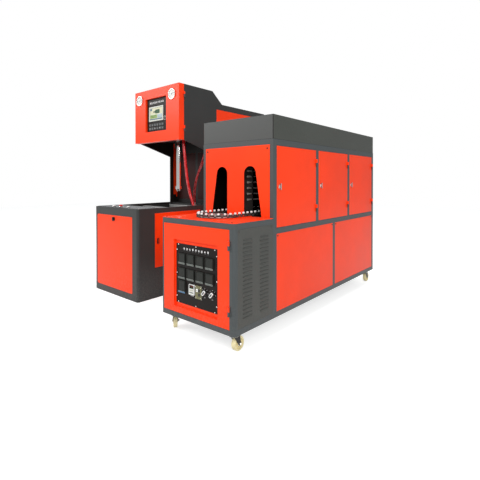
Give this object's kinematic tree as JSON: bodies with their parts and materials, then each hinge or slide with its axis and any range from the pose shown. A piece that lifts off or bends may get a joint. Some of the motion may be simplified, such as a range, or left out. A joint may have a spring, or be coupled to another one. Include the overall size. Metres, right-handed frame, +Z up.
{
  "type": "blow moulding machine",
  "caption": "Two-station stretch blow moulding machine: a C-frame blowing station with a clamp well, and an infrared preform oven with a chain loop on casters.",
  "frame": {"origin": "on the floor, at the centre of the underside of the blowing station's base cabinet", "axes": "+Y runs away from the operator along both stations, +X to the operator's right, where the preheater stands, and +Z is up"},
  "size_m": [2.171, 2.401, 2.142],
  "materials": {
    "orange_paint": "smooth satin powder coat",
    "grey_paint": "fine textured powder coat",
    "dark_paint": "fine textured powder coat",
    "console_paint": "glossy",
    "chrome": "polished",
    "steel": "machined",
    "aluminium": "satin anodised",
    "motor_paint": "painted casting",
    "black_plastic": "matte",
    "white_plastic": "gloss",
    "red_plastic": "gloss",
    "cream_wheel": "moulded nylon",
    "red_hose": "smooth hose cover",
    "lamp_glass": "frosted quartz tube"
  },
  "bodies": {
    "root": {"heater_frame": "grey_paint", "table_top": "orange_paint", "louvre_panels": "grey_paint", "side_panels": "orange_paint", "oven_front_plate": "orange_paint", "hood": "grey_paint", "hinge_halves": "grey_paint", "chain_track": "aluminium", "preform_chain": "steel", "gearmotor": "motor_paint", "lamp_rack": "aluminium", "heating_lamps": "lamp_glass", "base_cabinet": "dark_paint", "front_panel": "orange_paint", "console": "console_paint", "side_plate_left": "dark_paint", "side_plate_right": "dark_paint", "column_panels": "orange_paint", "column_covers": "dark_paint", "air_cylinders": "aluminium", "clamp_bed": "steel", "tie_bars": "chrome", "main_hose": "red_hose", "air_tube_upper": "red_hose", "air_tube_lower": "red_hose", "hose_fittings": "steel", "panel_screws": "chrome"},
    "heater_door": {"heater_door": "orange_paint", "control_panel": "black_plastic", "voltage_regulators": "black_plastic", "panel_instruments": "white_plastic"},
    "rotary_switch_left": {"rotary_switch_left": "black_plastic"},
    "rotary_switch_right": {"rotary_switch_right": "black_plastic"},
    "oven_door_front": {"oven_door_front": "orange_paint"},
    "lock_front": {"lock_front": "chrome"},
    "oven_door_middle": {"oven_door_middle": "orange_paint"},
    "lock_middle": {"lock_middle": "chrome"},
    "oven_door_rear": {"oven_door_rear": "orange_paint"},
    "lock_rear": {"lock_rear": "chrome"},
    "front_sprocket": {"front_sprocket": "steel"},
    "drive_sprocket": {"drive_sprocket": "steel"},
    "caster_fork_front_right": {"caster_fork_front_right": "black_plastic"},
    "caster_wheel_front_right": {"caster_wheel_front_right": "cream_wheel"},
    "caster_fork_front_left": {"caster_fork_front_left": "black_plastic"},
    "caster_wheel_front_left": {"caster_wheel_front_left": "cream_wheel"},
    "caster_fork_rear_right": {"caster_fork_rear_right": "black_plastic"},
    "caster_wheel_rear_right": {"caster_wheel_rear_right": "cream_wheel"},
    "caster_fork_rear_left": {"caster_fork_rear_left": "black_plastic"},
    "caster_wheel_rear_left": {"caster_wheel_rear_left": "cream_wheel"},
    "front_latch": {"front_latch": "black_plastic"},
    "base_side_door": {"base_side_door": "orange_paint"},
    "start_button_left": {"start_button_left": "white_plastic"},
    "start_button_right": {"start_button_right": "white_plastic"},
    "stop_button": {"stop_button": "red_plastic"},
    "head_door": {"head_door": "orange_paint", "screen_panel": "black_plastic", "pressure_gauges": "chrome"},
    "blow_column": {"blow_column": "chrome"},
    "stretch_rod": {"stretch_rod": "steel"},
    "moving_platen": {"moving_platen": "steel"}
  },
  "joints": [
    {"name": "heater_door_hinge", "type": "hinge", "parent": "root", "child": "heater_door", "pos_m": [1.729, -1.217, 0.5], "axis": [0, 0, 1], "range_deg": [0, 110]},
    {"name": "switch_left_turn", "type": "hinge", "parent": "heater_door", "child": "rotary_switch_left", "pos_m": [1.489, -1.194, 0.365], "axis": [0, -1, 0], "range_deg": [0, 90]},
    {"name": "switch_right_turn", "type": "hinge", "parent": "heater_door", "child": "rotary_switch_right", "pos_m": [1.563, -1.194, 0.365], "axis": [0, -1, 0], "range_deg": [0, 90]},
    {"name": "oven_door_front_hinge", "type": "hinge", "parent": "root", "child": "oven_door_front", "pos_m": [1.778, -0.14633, 1.093], "axis": [0, 0, 1], "range_deg": [0, 110]},
    {"name": "lock_front_turn", "type": "hinge", "parent": "oven_door_front", "child": "lock_front", "pos_m": [1.77, -0.699, 1.093], "axis": [1, 0, 0], "range_deg": [0, 90]},
    {"name": "oven_door_middle_hinge", "type": "hinge", "parent": "root", "child": "oven_door_middle", "pos_m": [1.778, 0.48733, 1.093], "axis": [0, 0, 1], "range_deg": [0, 110]},
    {"name": "lock_middle_turn", "type": "hinge", "parent": "oven_door_middle", "child": "lock_middle", "pos_m": [1.77, -0.06533, 1.093], "axis": [1, 0, 0], "range_deg": [0, 90]},
    {"name": "oven_door_rear_hinge", "type": "hinge", "parent": "root", "child": "oven_door_rear", "pos_m": [1.778, 1.121, 1.093], "axis": [0, 0, 1], "range_deg": [0, 110]},
    {"name": "lock_rear_turn", "type": "hinge", "parent": "oven_door_rear", "child": "lock_rear", "pos_m": [1.77, 0.56833, 1.093], "axis": [1, 0, 0], "range_deg": [0, 90]},
    {"name": "drive_sprocket_spin", "type": "hinge", "parent": "root", "child": "drive_sprocket", "pos_m": [1.41, 0.89821, 0.877], "axis": [0, 0, 1], "continuous": true, "deforming": ["preform_chain"]},
    {"name": "front_sprocket_spin", "type": "hinge", "parent": "root", "child": "front_sprocket", "pos_m": [1.41, -0.979, 0.877], "axis": [0, 0, 1], "continuous": true},
    {"name": "caster_swivel_front_right", "type": "hinge", "parent": "root", "child": "caster_fork_front_right", "pos_m": [1.705, -1.134, 0.12], "axis": [0, 0, 1], "continuous": true},
    {"name": "caster_roll_front_right", "type": "hinge", "parent": "caster_fork_front_right", "child": "caster_wheel_front_right", "pos_m": [1.705, -1.098, 0.05], "axis": [1, 0, 0], "continuous": true},
    {"name": "caster_swivel_front_left", "type": "hinge", "parent": "root", "child": "caster_fork_front_left", "pos_m": [1.107, -1.134, 0.12], "axis": [0, 0, 1], "continuous": true},
    {"name": "caster_roll_front_left", "type": "hinge", "parent": "caster_fork_front_left", "child": "caster_wheel_front_left", "pos_m": [1.07863, -1.11184, 0.05], "axis": [0.6157, 0.788, 0], "continuous": true},
    {"name": "caster_swivel_rear_right", "type": "hinge", "parent": "root", "child": "caster_fork_rear_right", "pos_m": [1.705, 1.091, 0.12], "axis": [0, 0, 1], "continuous": true},
    {"name": "caster_roll_rear_right", "type": "hinge", "parent": "caster_fork_rear_right", "child": "caster_wheel_rear_right", "pos_m": [1.705, 1.127, 0.05], "axis": [1, 0, 0], "continuous": true},
    {"name": "caster_swivel_rear_left", "type": "hinge", "parent": "root", "child": "caster_fork_rear_left", "pos_m": [1.115, 1.091, 0.12], "axis": [0, 0, 1], "continuous": true},
    {"name": "caster_roll_rear_left", "type": "hinge", "parent": "caster_fork_rear_left", "child": "caster_wheel_rear_left", "pos_m": [1.115, 1.127, 0.05], "axis": [1, 0, 0], "continuous": true},
    {"name": "front_latch_turn", "type": "hinge", "parent": "root", "child": "front_latch", "pos_m": [-0.022, -0.98, 0.754], "axis": [0, -1, 0], "range_deg": [0, 90]},
    {"name": "base_side_door_hinge", "type": "hinge", "parent": "root", "child": "base_side_door", "pos_m": [0.393, -0.188, 0.556], "axis": [0, 0, 1], "range_deg": [0, 110]},
    {"name": "start_left_press", "type": "slide", "parent": "root", "child": "start_button_left", "axis": [0, 0, -1], "range_m": [0, 0.004], "stiffness_N_per_m": 600},
    {"name": "start_right_press", "type": "slide", "parent": "root", "child": "start_button_right", "axis": [0, 0, -1], "range_m": [0, 0.004], "stiffness_N_per_m": 600},
    {"name": "stop_press", "type": "slide", "parent": "root", "child": "stop_button", "axis": [0, 0, -1], "range_m": [0, 0.005]},
    {"name": "head_door_hinge", "type": "hinge", "parent": "root", "child": "head_door", "pos_m": [0.393, -0.416, 1.85], "axis": [0, 0, 1], "range_deg": [0, 110]},
    {"name": "seal_slide", "type": "slide", "parent": "root", "child": "blow_column", "axis": [0, 0, -1], "range_m": [0, 0.13]},
    {"name": "stretch_slide", "type": "slide", "parent": "root", "child": "stretch_rod", "axis": [0, 0, -1], "range_m": [0, 0.3]},
    {"name": "clamp_slide", "type": "slide", "parent": "root", "child": "moving_platen", "axis": [0, 1, 0], "range_m": [0, 0.18]}
  ],
  "couplings": [
    {"joint": "front_sprocket_spin", "follows": "drive_sprocket_spin", "ratio": 1}
  ]
}
